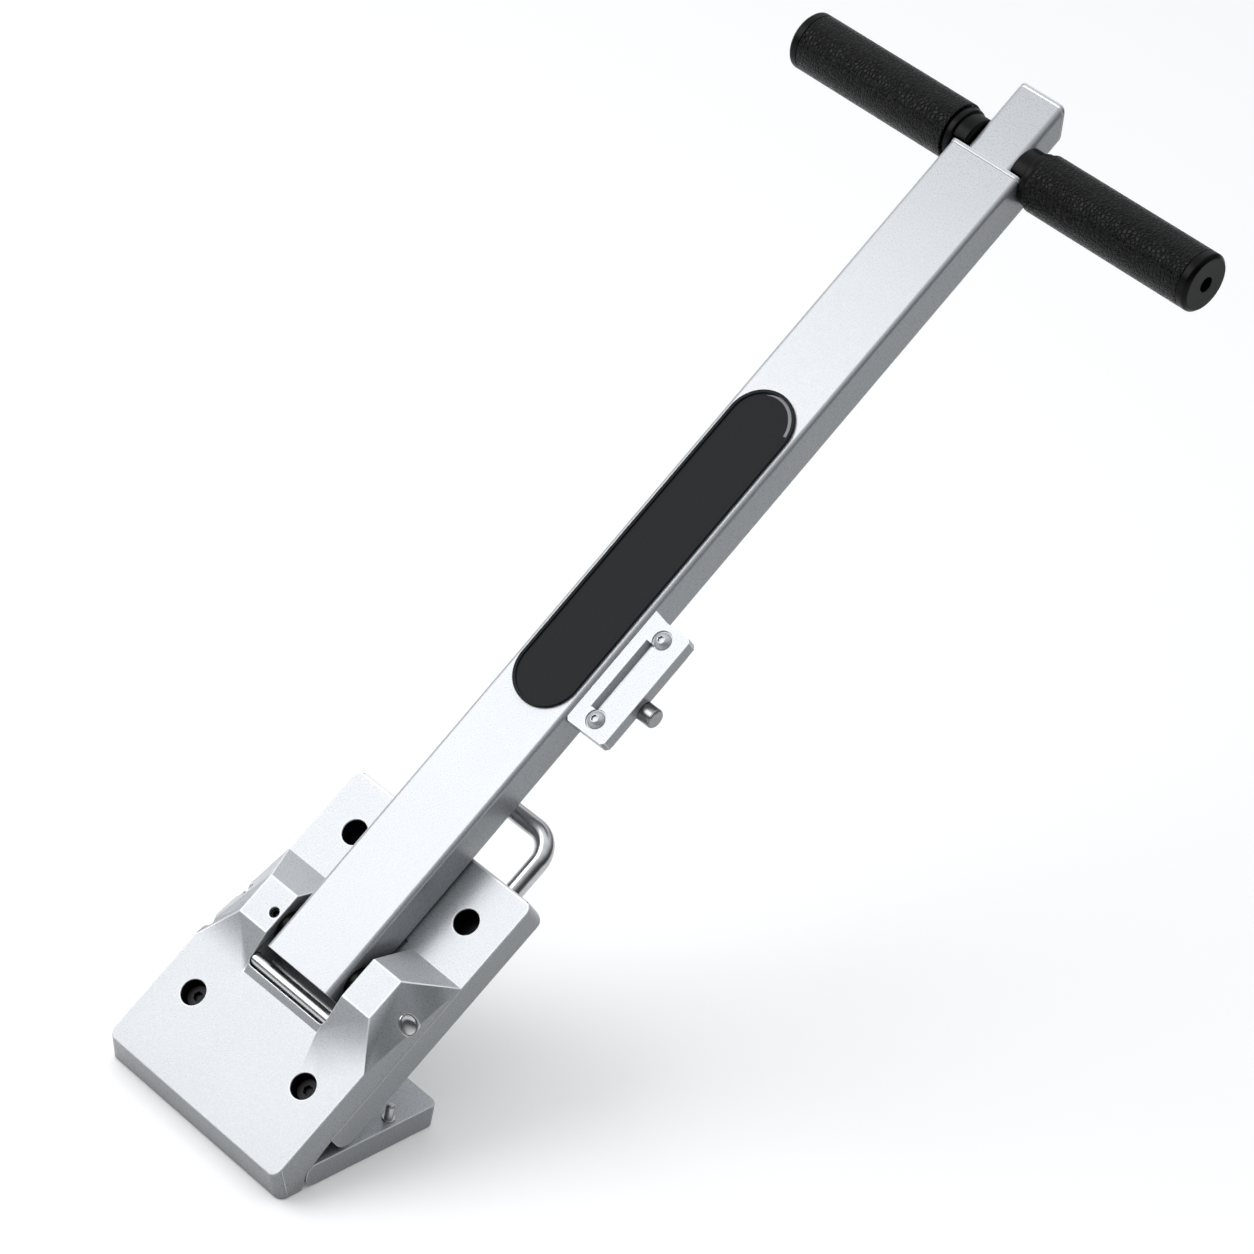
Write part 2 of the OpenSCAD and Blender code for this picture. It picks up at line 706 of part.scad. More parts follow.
module bail_legs(depth, r) {
  for (x = [-bail_left, bail_right]) translate([x, block_rear - depth, -body_t - block_t / 2])
    rotate([-90, 0, 0]) cylinder(h = depth + over, r = r);
}
module rear_bail() {
  straight = bail_reach - bail_bend;
  color("lightsteelblue") head_place() translate([0, block_rear, -body_t - block_t / 2]) {
    for (x = [-bail_left, bail_right]) translate([x, -bail_grip, 0])
      rotate([-90, 0, 0]) cylinder(h = bail_grip + straight, d = bail_d);
    translate([bail_right - bail_bend, straight, 0]) rotate_extrude(angle = 90)
      translate([bail_bend, 0]) circle(d = bail_d);
    translate([-bail_left + bail_bend, straight, 0]) rotate([0, 0, 90]) rotate_extrude(angle = 90)
      translate([bail_bend, 0]) circle(d = bail_d);
    translate([0, bail_reach, 0]) rod_x(-bail_left + bail_bend, bail_right - bail_bend, bail_d / 2);
  }
}

// The outer tube and what it carries, in the arm frame: Y along the tube, zero at its lower end
module tube_side_rod(x0, x1, r, s) { translate([0, s, -tube_d / 2]) rod_x(x0, x1, r); }
module pivot_in_arm() { translate([0, pivot_s, -pivot_depth]) children(); }
module outer_tube() {
  color("aliceblue") arm_place() difference() {
    along_arm(0, tube_len) round_box_2d(tube_w, tube_d, tube_r);
    along_arm(-over, tube_len + over) square([cavity_w, cavity_d], center = true);
    pivot_in_arm() rod_x(-tube_w, tube_w, bush_r + fixed_play);
    tube_side_rod(0, tube_w, stem_d / 2 + plunger_play, lock_s);
  }
}
module pivot_bushes() {
  color("dimgray") arm_place() pivot_in_arm() for (side = [0, 1]) mirror([side, 0, 0]) difference() {
    union() {
      rod_x(cavity_w / 2 - 2, tube_w / 2 + over, bush_r);
      rod_x(tube_w / 2, pocket_half - face_gap, bush_flange_d / 2);
    }
    rod_x(0, pocket_half + over, pivot_d / 2 + running);
  }
}
module tube_rim() {
  back = tube_d / 2 + rim_lug_out;
  color("aliceblue") arm_place() {
    difference() {
      along_arm(tube_len, rim_top)
        round_box_2d(tube_w + 2 * rim_out, tube_d + 2 * rim_out, tube_r + rim_out);
      along_arm(tube_len - over, rim_top + over)
        square([tube_w - 2 * rim_wall, tube_d - 2 * rim_wall], center = true);
    }
    translate([0, 0, -tube_d / 2]) across(rim_lug_w) polygon([
      [rim_top, -tube_d / 2], [rim_top, -back], [rim_top - rim_lug_l + rim_lug_out, -back],
      [rim_top - rim_lug_l, -tube_d / 2]]);
  }
}
module side_blocks(s0, s1, inner, outer) {
  for (side = [0, 1]) mirror([side, 0, 0]) translate([inner, s0, -tube_d / 2 - cavity_d / 2 + fixed_play])
    cube([outer - inner, s1 - s0, cavity_d - 2 * fixed_play]);
}
module upper_guides() {
  color("dimgray") arm_place()
    side_blocks(tube_len - guide_l, tube_len, inner_w / 2 + face_gap, cavity_w / 2 - fixed_play);
}
module stadium(w, l) {
  translate([0, w / 2]) circle(d = w);
  translate([0, l - w / 2]) circle(d = w);
  translate([-w / 2, w / 2]) square([w, l - w]);
}
module oval_pad() {
  color("darkslategray") arm_place() translate([0, oval_low, 0]) difference() {
    linear_extrude(oval_t) stadium(oval_w, oval_l);
    translate([0, oval_band, oval_t / 2]) linear_extrude(oval_t)
      stadium(oval_w - 2 * oval_band, oval_l - 2 * oval_band);
  }
}
module lock_screw_places() {
  for (side = [-1, 1])
    translate([tube_w / 2 + lock_screw_x, cover_s + side * lock_screw_pitch / 2, cover_top]) children();
}
module lock_housing() {
  color("lightsteelblue") arm_place() difference() {
    translate([tube_w / 2, cover_s - housing_l / 2, cover_under - housing_d])
      cube([housing_w, housing_l, housing_d]);
    tube_side_rod(0, tube_w * 2, stem_d / 2 + plunger_play, lock_s);
    tube_side_rod(chamber_start, chamber_end, collar_d / 2 + plunger_play, lock_s);
    lock_screw_places() translate([0, 0, -button_sink - lock_screw_l - over])
      cylinder(h = lock_screw_l + over, d = lock_screw_d + 2 * fixed_play);
  }
}
module groove_outline() {
  polygon([
    [-groove_w / 2, over], [-groove_w / 2, 0], [groove_slope - groove_w / 2, -groove_depth],
    [groove_w / 2, -groove_depth], [groove_w / 2, over]]);
}
module lock_cover() {
  x0 = tube_w / 2;
  x1 = x0 + cover_w;
  s0 = cover_s - cover_l / 2;
  s1 = cover_s + cover_l / 2;
  c = cover_cut;
  color("lightsteelblue") arm_place() difference() {
    translate([0, 0, cover_under]) linear_extrude(cover_t) polygon([
      [x0, s0 + c], [x0 + c, s0], [x1 - c, s0], [x1, s0 + c], [x1, s1 - c], [x1 - c, s1],
      [x0 + cover_strip, s1], [x0, s1 + cover_rise]]);
    translate([x0 + groove_x, cover_s + groove_l / 2, cover_top]) rotate([90, 0, 0])
      linear_extrude(groove_l) groove_outline();
    tube_side_rod(x0 - over, chamber_end, collar_d / 2 + plunger_play, lock_s);
    tube_side_rod(x0, x1 + over, stem_d / 2 + plunger_play, lock_s);
    tube_side_rod(x0 + housing_w, x1 + over, knob_d / 2 + face_gap, lock_s);
    lock_screw_places() {
      translate([0, 0, -cover_t - over]) cylinder(h = cover_t + 2 * over, d = lock_screw_d + bolt_play);
      translate([0, 0, -button_sink]) cylinder(h = button_sink + over, d = button_d + 2 * button_gap);
    }
  }
}
module lock_screws() {
  color("silver") arm_place() lock_screw_places() translate([0, 0, -button_sink])
    button_screw(button_d, button_h, lock_screw_d, lock_screw_l);
}

// The plunger
module lock_plunger() {
  color("silver") arm_place() {
    tube_side_rod(tip_end, stem_end, stem_d / 2, lock_s);
    tube_side_rod(collar_start, spring_start, collar_d / 2, lock_s);
  }
}
module plunger_knob() {
  color("silver") arm_place() {
    tube_side_rod(stem_end, stem_end + knob_l - edge, knob_d / 2, lock_s);
    translate([stem_end + knob_l - edge, lock_s, -tube_d / 2]) rotate([0, 90, 0])
      cylinder(h = edge, d1 = knob_d, d2 = knob_d - 2 * edge);
  }
}
module plunger_spring() {
  color("gainsboro") arm_place() difference() {
    tube_side_rod(spring_start, chamber_end, collar_d / 2, lock_s);
    tube_side_rod(spring_start - over, chamber_end + over, collar_d / 2 - spring_wire, lock_s);
  }
}

// The inner tube and the handle
module inner_tube() {
  color("aliceblue") arm_place() difference() {
    along_arm(inner_low, inner_top) round_box_2d(inner_w, inner_d, inner_r);
    along_arm(inner_low - over, inner_top + over) inner_bore_2d(0);
    above_slant(cap_t);
    translate([0, handle_s, -tube_d / 2]) rod_x(-inner_w, inner_w, handle_d / 2 + fixed_play);
    translate([0, handle_s, -tube_d]) cylinder(h = tube_d / 2, d = handle_pin_d + 2 * fixed_play);
    tube_side_rod(0, inner_w, slot_w / 2, lock_s);
    tube_side_rod(0, inner_w, slot_w / 2, lock_s - stroke);
    translate([0, lock_s - stroke, -tube_d / 2 - slot_w / 2]) cube([inner_w, stroke, slot_w]);
  }
}
module inner_bore_2d(play) {
  round_box_2d(inner_w - 2 * inner_wall - 2 * play, inner_d - 2 * inner_wall - 2 * play, inner_r - inner_wall);
}
// All that lies above the inner tube's slanted end, or above a plane that far below it
module above_slant(drop) {
  translate([0, inner_top - drop, inner_front]) rotate([-top_slant, 0, 0])
    translate([-inner_w, 0, -3 * inner_d]) cube([2 * inner_w, 3 * inner_d, 4 * inner_d]);
}
module inner_tube_cap() {
  low = inner_top - cap_t - slant_drop;
  color("aliceblue") arm_place() difference() {
    union() {
      intersection() {
        along_arm(low, inner_top) round_box_2d(inner_w, inner_d, inner_r);
        above_slant(cap_t);
      }
      along_arm(low - cap_plug, inner_top) inner_bore_2d(fixed_play);
    }
    above_slant(0);
  }
}
module guide_shoes() {
  color("dimgray") arm_place()
    side_blocks(inner_low, inner_low + shoe_l, inner_w / 2, cavity_w / 2 - face_gap);
}
module handle_place() { arm_place() translate([0, handle_s, -tube_d / 2]) children(); }
module handle_bar() {
  end = grip_end - cap_spigot_l - fixed_play;
  color("silver") handle_place() difference() {
    rod_x(-end, end, handle_d / 2);
    rod_x(-end - over, end + over, handle_d / 2 - handle_wall);
    translate([0, 0, -handle_d]) cylinder(h = handle_d, d = handle_pin_d + 2 * fixed_play);
  }
}
module handle_pin() {
  rear = -inner_d / 2 + handle_pin_sink;
  color("silver") handle_place() translate([0, 0, rear])
    cylinder(h = -rear - handle_d / 2 + handle_wall + edge, d = handle_pin_d);
}
module collar(side) {
  neck_end = grip_start - flange_t;
  color("dimgray") handle_place() mirror([side < 0 ? 1 : 0, 0, 0]) difference() {
    union() {
      rod_x(inner_w / 2, neck_end + over, neck_d / 2);
      rod_x(neck_end, grip_start, flange_d / 2);
    }
    rod_x(0, grip_start + over, handle_d / 2 + fixed_play);
    translate([0, collar_gap - handle_up - neck_d, -neck_d]) cube([neck_end, neck_d, 2 * neck_d]);
  }
}
module spool(side) {
  r = grip_d / 2 - sleeve_t - fixed_play;
  pitch = (grip_end - grip_start - spool_ring_t) / (spool_rings - 1);
  color("dimgray") handle_place() mirror([side < 0 ? 1 : 0, 0, 0]) difference() {
    union() {
      rod_x(grip_start, grip_end, handle_d / 2 + fixed_play + spool_wall);
      for (i = [0:spool_rings - 1])
        rod_x(grip_start + i * pitch, grip_start + i * pitch + spool_ring_t, r);
    }
    rod_x(grip_start - over, grip_end + over, handle_d / 2 + fixed_play);
  }
}
module grip(side) {
  color("darkslategray") handle_place() mirror([side < 0 ? 1 : 0, 0, 0]) difference() {
    rod_x(grip_start, grip_end, grip_d / 2);
    rod_x(grip_start - over, grip_end + over, grip_d / 2 - sleeve_t);
  }
}
module end_cap(side) {
  face = handle_half - end_cap_edge;
  color("dimgray") handle_place() mirror([side < 0 ? 1 : 0, 0, 0]) difference() {
    union() {
      rod_x(grip_end - cap_spigot_l, grip_end + over, handle_d / 2);
      rod_x(grip_end, face, grip_d / 2);
      translate([face, 0, 0]) rotate([0, 90, 0])
        cylinder(h = end_cap_edge, d1 = grip_d, d2 = grip_d - 2 * end_cap_edge);
    }
    rod_x(handle_half - end_hole_depth, handle_half + over, end_hole / 2);
  }
}
module left_collar() { collar(-1); }
module right_collar() { collar(1); }
module left_spool() { spool(-1); }
module right_spool() { spool(1); }
module left_grip() { grip(-1); }
module right_grip() { grip(1); }
module left_end_cap() { end_cap(-1); }
module right_end_cap() { end_cap(1); }

foot_plate();
foot_magnets();
foot_stud();
foot_hinge_pin();
head_body();
hinge_bushes();
lower_block();
front_cap_screws();
cross_bar();
pivot_pin();
pivot_set_screw();
rear_bail();
outer_tube();
pivot_bushes();
tube_rim();
upper_guides();
oval_pad();
lock_housing();
lock_cover();
lock_screws();
lock_plunger();
plunger_knob();
plunger_spring();
inner_tube();
inner_tube_cap();
guide_shoes();
handle_bar();
handle_pin();
left_collar();
right_collar();
left_spool();
right_spool();
left_grip();
right_grip();
left_end_cap();
right_end_cap();
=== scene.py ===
"""Looks for the manhole cover lifter: dressed copies of the CAD solids, their materials, a pale
floor, soft light, and a camera at the photograph's angle. Lengths are in metres."""
import json
import math

import bmesh
import bpy
from mathutils import Matrix, Vector
from mathutils.bvhtree import BVHTree


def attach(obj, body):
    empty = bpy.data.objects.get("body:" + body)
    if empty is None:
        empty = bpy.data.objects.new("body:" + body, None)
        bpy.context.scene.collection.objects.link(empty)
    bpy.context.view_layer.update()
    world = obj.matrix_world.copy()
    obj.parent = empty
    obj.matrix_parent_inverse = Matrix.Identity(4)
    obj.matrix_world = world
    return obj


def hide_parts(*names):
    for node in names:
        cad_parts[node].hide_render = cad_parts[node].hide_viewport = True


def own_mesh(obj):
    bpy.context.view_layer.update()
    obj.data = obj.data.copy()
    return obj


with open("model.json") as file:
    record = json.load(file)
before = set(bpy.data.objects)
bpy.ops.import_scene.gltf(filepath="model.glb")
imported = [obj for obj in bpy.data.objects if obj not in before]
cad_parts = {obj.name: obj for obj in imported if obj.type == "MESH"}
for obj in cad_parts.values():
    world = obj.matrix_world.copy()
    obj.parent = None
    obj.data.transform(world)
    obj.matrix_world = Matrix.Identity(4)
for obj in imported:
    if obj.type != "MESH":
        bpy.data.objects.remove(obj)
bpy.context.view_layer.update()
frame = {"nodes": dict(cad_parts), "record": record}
scene = bpy.context.scene
record = frame["record"]
MM = 0.001
NODES = frame["nodes"]
SLOTS = {row["node"]: row["material_slot"] for row in record["subparts"]}
BODY = {node: body for body, nodes in record["behaviour"]["bodies"].items() for node in nodes}


# Materials. The scale of a noise or of cells is per metre: at 1000, a grain is about 1 mm wide.

GRAIN = (0.3, 0.7)  # the values of a noise between which a tone or a roughness changes
CRISP_GRAIN = (0.35, 0.65)  # the same in a narrower band, for more contrast
SILVER = (0.52, 0.54, 0.565)
# GLINT is the colour of the painted glints, paler specks that stand in for sparkle
GLINT = (0.8, 0.81, 0.83)
CLOUD_SHADE = 0.94  # how dark the clouds are against the rest of the metal
CLOUD_MOST = 0.6  # how much of that shade the strongest clouds take
GLINT_REACH = 0.35  # how far a glint reaches across its cell
METAL_SHARE = 0.3  # how metallic the satin metals are
EDGE_POLISH = 0.12  # how much smoother the rounded edges are
# Painted shade: deep in holes and narrow gaps, the satin metals' colour darkens to SHADED_TONE
SHADED_REACH = 12 * MM  # how far off a surface still shades another
SHADED_RANGE = (0.12, 0.42)  # the openness from fully shaded to unshaded
SHADED_TONE = (0.008, 0.008, 0.009)
DRAWN_SHADE = 0.86  # how dark the drawn lines of polished steel are
ALONG_X = (0.1, 1, 1)  # stretches a noise into lines along x
SATIN_SPREAD = (-0.06, 0.08)  # how far the roughness strays from its middle
STEEL_SPREAD = (-0.04, 0.06)
DARK_SPREAD = (-0.05, 0.05)
FINE_DEPTH = 0.00002
GRIP_DEPTH = 0.0006
GRIP_ROUGH = (0.46, 0.22)  # in the creases and on the crests
GRIP_CREASE = 0.22  # how much of a pebble's cell its creases take
GRIP_HEIGHTS = (0.3, 1.1)  # of the creases and the crests
PEBBLE_SHARE = 0.6  # what each layer adds to the leather's height
WRINKLE_SHARE = 0.5
PORE_SHARE = 0.25
PAD_DEPTH = 0.00001
PAD_ROUGH = (0.5, 0.6)
ARM_RISE = math.radians(41.5)  # the arm's slope above the ground
CRESCENT_BEGIN = math.radians(8)  # angles round the middle of the pad's upper end
CRESCENT_NARROWS_INSIDE = math.radians(40)
CRESCENT_NARROWS_OUTSIDE = math.radians(92)
CRESCENT_END = math.radians(118)
CRESCENT_OUTER = 1.9 * MM  # distances from the pad's side
CRESCENT_INNER = 4.1 * MM
CRESCENT_TIP = 3.1 * MM


class Tree:
    """A material's node tree, with short calls for the nodes that it uses."""

    def __init__(self, name):
        self.material = bpy.data.materials.new(name)
        self.material.use_nodes = True
        self.tree = self.material.node_tree
        self.shader = self.tree.nodes["Principled BSDF"]
        self.place = self.add("ShaderNodeTexCoord").outputs["Object"]

    def add(self, kind, **values):
        node = self.tree.nodes.new(kind)
        for key, value in values.items():
            setattr(node, key, value)
        return node

    def link(self, source, target):
        self.tree.links.new(source, target)

    def noise(self, scale, detail=2.0, rough=0.5, stretch=None):
        node = self.add("ShaderNodeTexNoise")
        node.inputs["Scale"].default_value = scale
        node.inputs["Detail"].default_value = detail
        node.inputs["Roughness"].default_value = rough
        source = self.place
        if stretch:
            mapping = self.add("ShaderNodeMapping")
            mapping.inputs["Scale"].default_value = stretch
            self.link(self.place, mapping.inputs["Vector"])
            source = mapping.outputs["Vector"]
        self.link(source, node.inputs["Vector"])
        return node.outputs["Fac"]

    def cells(self, scale, feature):
        node = self.add("ShaderNodeTexVoronoi", feature=feature)
        node.inputs["Scale"].default_value = scale
        self.link(self.place, node.inputs["Vector"])
        return node.outputs["Distance"]

    def ramp(self, value, low, high, out_low, out_high):
        node = self.add("ShaderNodeMapRange")
        set_range(node, (low, high, out_low, out_high))
        self.link(value, node.inputs["Value"])
        return node.outputs["Result"]

    def math(self, operation, a, b=0.0):
        node = self.add("ShaderNodeMath", operation=operation)
        for socket, value in zip(node.inputs, (a, b)):
            if isinstance(value, (int, float)):
                socket.default_value = value
            else:
                self.link(value, socket)
        return node.outputs[0]

    def mix(self, factor, a, b):
        node = self.add("ShaderNodeMix", data_type="RGBA")
        sockets = (node.inputs[0], node.inputs[6], node.inputs[7])
        for socket, value in zip(sockets, (factor, a, b)):
            if isinstance(value, tuple):
                socket.default_value = (*value, 1)
            else:
                self.link(value, socket)
        return node.outputs[2]

    def bump(self, height, depth):
        node = self.add("ShaderNodeBump")
        node.inputs["Distance"].default_value = depth
        self.link(height, node.inputs["Height"])
        return node.outputs["Normal"]

    def finish(self, colour, rough, normal, metallic=0.0, **uniform):
        """Links the maps, sets each uniform value on its own socket, and gives the material."""
        self.link(colour, self.shader.inputs["Base Color"])
        self.link(rough, self.shader.inputs["Roughness"])
        self.link(normal, self.shader.inputs["Normal"])
        self.shader.inputs["Metallic"].default_value = metallic
        for key, value in uniform.items():
            self.shader.inputs[key.replace("_", " ")].default_value = value
        return self.material


def set_range(node, limits):
    """Sets a Map Range node's two input limits and two output limits."""
    for key, value in zip(("From Min", "From Max", "To Min", "To Max"), limits):
        node.inputs[key].default_value = value


def darker(colour, share):
    return tuple(c * share for c in colour)


def around(middle, spread):
    return tuple(middle + step for step in spread)


def edge_mark(t):
    """The edges painted brighter, for wear and as painted highlights: 1 on the rounded edges of a
    dressed piece, 0 elsewhere.
    """
    return t.add("ShaderNodeAttribute", attribute_name="edge").outputs["Fac"]


def open_to_light(t):
    """1 on open surfaces, falling to 0 deep inside holes and narrow gaps."""
    node = t.add("ShaderNodeAmbientOcclusion", samples=6)
    node.inputs["Distance"].default_value = SHADED_REACH
    return t.ramp(node.outputs["AO"], *SHADED_RANGE, 0, 1)


def satin_metal(name, edge_wear_and_highlight, rough, grain, depth, sparkle):
    """Blasted or anodised metal: a fine grain, faint clouds, painted glints, edges painted brighter
    for wear and as painted highlights, and painted shade deep in holes and narrow gaps.
    """
    t = Tree(name)
    fine = t.noise(1500, rough=0.6)
    clouds = t.noise(14, detail=3.0)
    glints = t.ramp(t.cells(900, "F1"), 0.0, GLINT_REACH, 1, 0)
    tone = t.mix(t.ramp(fine, *GRAIN, 0, 1), darker(SILVER, 1 - grain), SILVER)
    tone = t.mix(t.ramp(clouds, *CRISP_GRAIN, 0, CLOUD_MOST), tone, darker(SILVER, CLOUD_SHADE))
    # Wear and painted highlight: the rounded edges are painted brighter
    tone = t.mix(edge_mark(t), tone, edge_wear_and_highlight)
    # Painted glints: paler specks in the colour
    tone = t.mix(t.math("MULTIPLY", glints, sparkle), tone, GLINT)
    # Painted shade deep inside holes and narrow gaps
    tone = t.mix(open_to_light(t), SHADED_TONE, tone)
    roughness = t.ramp(fine, *GRAIN, *around(rough, SATIN_SPREAD))
    roughness = t.math("SUBTRACT", roughness, t.math("MULTIPLY", edge_mark(t), EDGE_POLISH))
    return t.finish(tone, roughness, t.bump(fine, depth), METAL_SHARE)


def polished_steel(name, colour, rough, lines=ALONG_X):
    """Turned and polished metal, with faint drawn lines along one axis."""
    t = Tree(name)
    drawn = t.noise(220, detail=3.0, stretch=lines)
    clouds = t.noise(30)
    tone = t.mix(t.ramp(drawn, *CRISP_GRAIN, 0, 1), darker(colour, DRAWN_SHADE), colour)
    roughness = t.ramp(clouds, *GRAIN, *around(rough, STEEL_SPREAD))
    return t.finish(tone, roughness, t.bump(drawn, FINE_DEPTH), 1.0)


def dark_part(name, colour, light, rough, scale, shine):
    """Dark moulded or blackened surfaces with a fine grain."""
    t = Tree(name)
    fine = t.noise(scale, detail=3.0)
    clouds = t.noise(40)
    tone = t.mix(t.ramp(fine, *CRISP_GRAIN, 0, 1), colour, light)
    roughness = t.ramp(clouds, *GRAIN, *around(rough, DARK_SPREAD))
    return t.finish(tone, roughness, t.bump(fine, FINE_DEPTH), Specular_IOR_Level=shine)


def grained_rubber(name):
    """Black rubber with a leather grain: pebbles parted by fine creases, over slow wrinkles."""
    t = Tree(name)
    wrinkles = t.math("MULTIPLY", t.noise(260), WRINKLE_SHARE)
    pores = t.math("MULTIPLY", t.noise(1300), PORE_SHARE)
    pebbles = t.ramp(t.cells(430, "DISTANCE_TO_EDGE"), 0.0, GRIP_CREASE, 0, 1)
    height = t.math("ADD", t.math("MULTIPLY", pebbles, PEBBLE_SHARE), wrinkles)
    height = t.math("ADD", height, pores)
    raised = t.ramp(height, *GRIP_HEIGHTS, 0, 1)
    tone = t.mix(raised, (0.0008, 0.0008, 0.0008), (0.0025, 0.0025, 0.0027))
    roughness = t.ramp(height, *GRIP_HEIGHTS, *GRIP_ROUGH)
    return t.finish(tone, roughness, t.bump(height, GRIP_DEPTH), Specular_IOR_Level=0.16)


def pad_with_pale_crescent(name):
    """The pad's dark rubber, with a pale crescent in its colour just inside its upper right end.

    The crescent lies between two curves round the middle of that end, which meet in its tip.
    """
    t = Tree(name)
    fine = t.noise(1400, detail=3.0)
    grain = t.ramp(fine, *CRISP_GRAIN, 0, 1)
    dark = t.mix(grain, (0.009, 0.0098, 0.011), (0.013, 0.014, 0.0155))
    pale = t.mix(grain, (0.27, 0.275, 0.28), (0.33, 0.335, 0.34))
    points = [v.co for v in NODES["oval_pad"].data.vertices]
    along = Vector((0, math.cos(ARM_RISE), math.sin(ARM_RISE)))
    half = (max(point.x for point in points) - min(point.x for point in points)) / 2
    centre = max(point.dot(along) for point in points) - half
    apart = t.add("ShaderNodeSeparateXYZ")
    t.link(t.place, apart.inputs[0])
    x = apart.outputs["X"]
    dot = t.add("ShaderNodeVectorMath", operation="DOT_PRODUCT")
    dot.inputs[1].default_value = along
    t.link(t.place, dot.inputs[0])
    up = t.math("SUBTRACT", dot.outputs["Value"], centre)
    angle = t.math("ARCTAN2", up, x)
    reach = t.math("SQRT", t.math("ADD", t.math("MULTIPLY", x, x), t.math("MULTIPLY", up, up)))
    tip = half - CRESCENT_TIP
    outer = t.ramp(angle, CRESCENT_NARROWS_OUTSIDE, CRESCENT_END, half - CRESCENT_OUTER, tip)
    inner = t.ramp(angle, CRESCENT_NARROWS_INSIDE, CRESCENT_END, half - CRESCENT_INNER, tip)
    mark = t.math("LESS_THAN", reach, outer)
    for test, value, limit in (
            ("GREATER_THAN", reach, inner),
            ("GREATER_THAN", angle, CRESCENT_BEGIN),
            ("LESS_THAN", angle, CRESCENT_END)):
        mark = t.math("MULTIPLY", mark, t.math(test, value, limit))
    roughness = t.ramp(fine, *GRAIN, *PAD_ROUGH)
    return t.finish(t.mix(mark, dark, pale), roughness, t.bump(fine, PAD_DEPTH),
                    Specular_IOR_Level=0.15)


MATERIALS = {
    "painted_steel": satin_metal(
        "satin_silver", edge_wear_and_highlight=(0.85, 0.86, 0.87), rough=0.3, grain=0.2, depth=0.00004, sparkle=0.4),
    "tube_metal": satin_metal(
        "satin_aluminium", edge_wear_and_highlight=(0.85, 0.86, 0.88), rough=0.29, grain=0.07, depth=0.00001,
        sparkle=0.08),
    "bare_steel": polished_steel("polished_steel", (0.56, 0.565, 0.575), rough=0.24),
    "black_steel": dark_part(
        "black_steel", (0.002, 0.002, 0.0022), light=(0.008, 0.008, 0.009), rough=0.4, scale=700,
        shine=0.2),
    "bronze": polished_steel("bearing_bronze", (0.55, 0.4, 0.2), rough=0.4, lines=(1, 1, 1)),
    "black_plastic": dark_part(
        "black_plastic", (0.0008, 0.0008, 0.0008), light=(0.002, 0.002, 0.0022), rough=0.34,
        scale=1200, shine=0.12),
    "grip_rubber": grained_rubber("grained_rubber"),
    "pad_rubber": pad_with_pale_crescent("pad_rubber"),
}
# A darker copy of the polished steel, for the plunger's knob
DARKER_STEEL = polished_steel("darker_steel", (0.3, 0.3, 0.305), rough=0.3)


# Dressed copies of the CAD solids

MERGE = 0.05 * MM  # points nearer than this are one
FLAT_ANGLE = math.radians(0.4)  # faces that turn by less are one flat face
CREASE_ANGLE = math.radians(12)  # faces that turn by less are shaded as one curve
ROUNDED_ANGLE = 30  # degrees from which an outer edge is rounded
UNBLENDED = 2.0  # more than any face's share of sideways, so that no edge is blended
FRONT_BORE_R = 7.5 * MM
BORE_MARGIN = 1.02
PROBE_FROM = 0.2  # how far to the side the rays start that find the ears' outer faces
PROBE_R = 6.5 * MM  # the circle round the pin's axis on which they run
PROBE_TURNS = (90, 210, 330)

# The width of each piece's rounded edges, in mm
DRESSED = {
    "foot_plate": 0.6, "foot_stud": 0.3, "head_body": 0.6, "lower_block": 0.7, "cross_bar": 0.3,
    "pivot_pin": 0.15, "rear_bail": 0, "front_cap_screws": 0.4, "pivot_set_screw": 0.3,
    "outer_tube": 0.35, "tube_rim": 0.5, "inner_tube": 0.2, "inner_tube_cap": 0.8, "oval_pad": 0.35,
    "lock_housing": 0.6, "lock_cover": 0.5, "lock_screws": 0.35, "plunger_knob": 0.5,
    "left_collar": 1.2, "right_collar": 1.2, "left_grip": 0.6, "right_grip": 0.6,
    "left_end_cap": 0.5, "right_end_cap": 0.5,
}


def find_bores():
    """A point, the axis and the radius of each rear socket and of each front counterbore."""
    bores = [(Vector(mount["pos_m"]), Vector(mount["axis"]), mount["dims"]["r_mm"] * MM)
             for mount in record["mounts"] if mount["kind"] == "bore"]
    screws = [v.co for v in NODES["front_cap_screws"].data.vertices]
    for side in (-1, 1):
        points = [point for point in screws if point.x * side > 0]
        bores.append((sum(points, Vector()) / len(points), bores[0][1], FRONT_BORE_R))
    return bores


def in_a_bore(point):
    """Whether the point lies inside one of the open round holes that find_bores finds."""
    return any((point - centre).cross(axis).length < radius * BORE_MARGIN
               for centre, axis, radius in BORES)


def slope_pin_ends(bm):
    """Slopes the pin's dished ends, so that their rims lie flush in the ears' outer faces."""
    head = NODES["head_body"].data
    ears = BVHTree.FromPolygons([v.co for v in head.vertices],
                                [list(face.vertices) for face in head.polygons])
    for side in (-1, 1):
        end = [v.co for v in bm.verts if v.co.x * side > 0]
        reach = max(point.x * side for point in end)
        rim = [point for point in end if point.x * side > reach - MERGE]
        axis = sum(rim, Vector()) / len(rim)
        hits = []
        for turn in PROBE_TURNS:
            y = axis.y + PROBE_R * math.cos(math.radians(turn))
            z = axis.z + PROBE_R * math.sin(math.radians(turn))
            start = Vector((side * PROBE_FROM, y, z))
            hits.append(ears.ray_cast(start, Vector((-side, 0, 0)))[0])
        slope = (hits[1] - hits[0]).cross(hits[2] - hits[0])
        for point in end:
            away = slope.y * (point.y - hits[0].y) + slope.z * (point.z - hits[0].z)
            point.x += hits[0].x - away / slope.x - side * reach


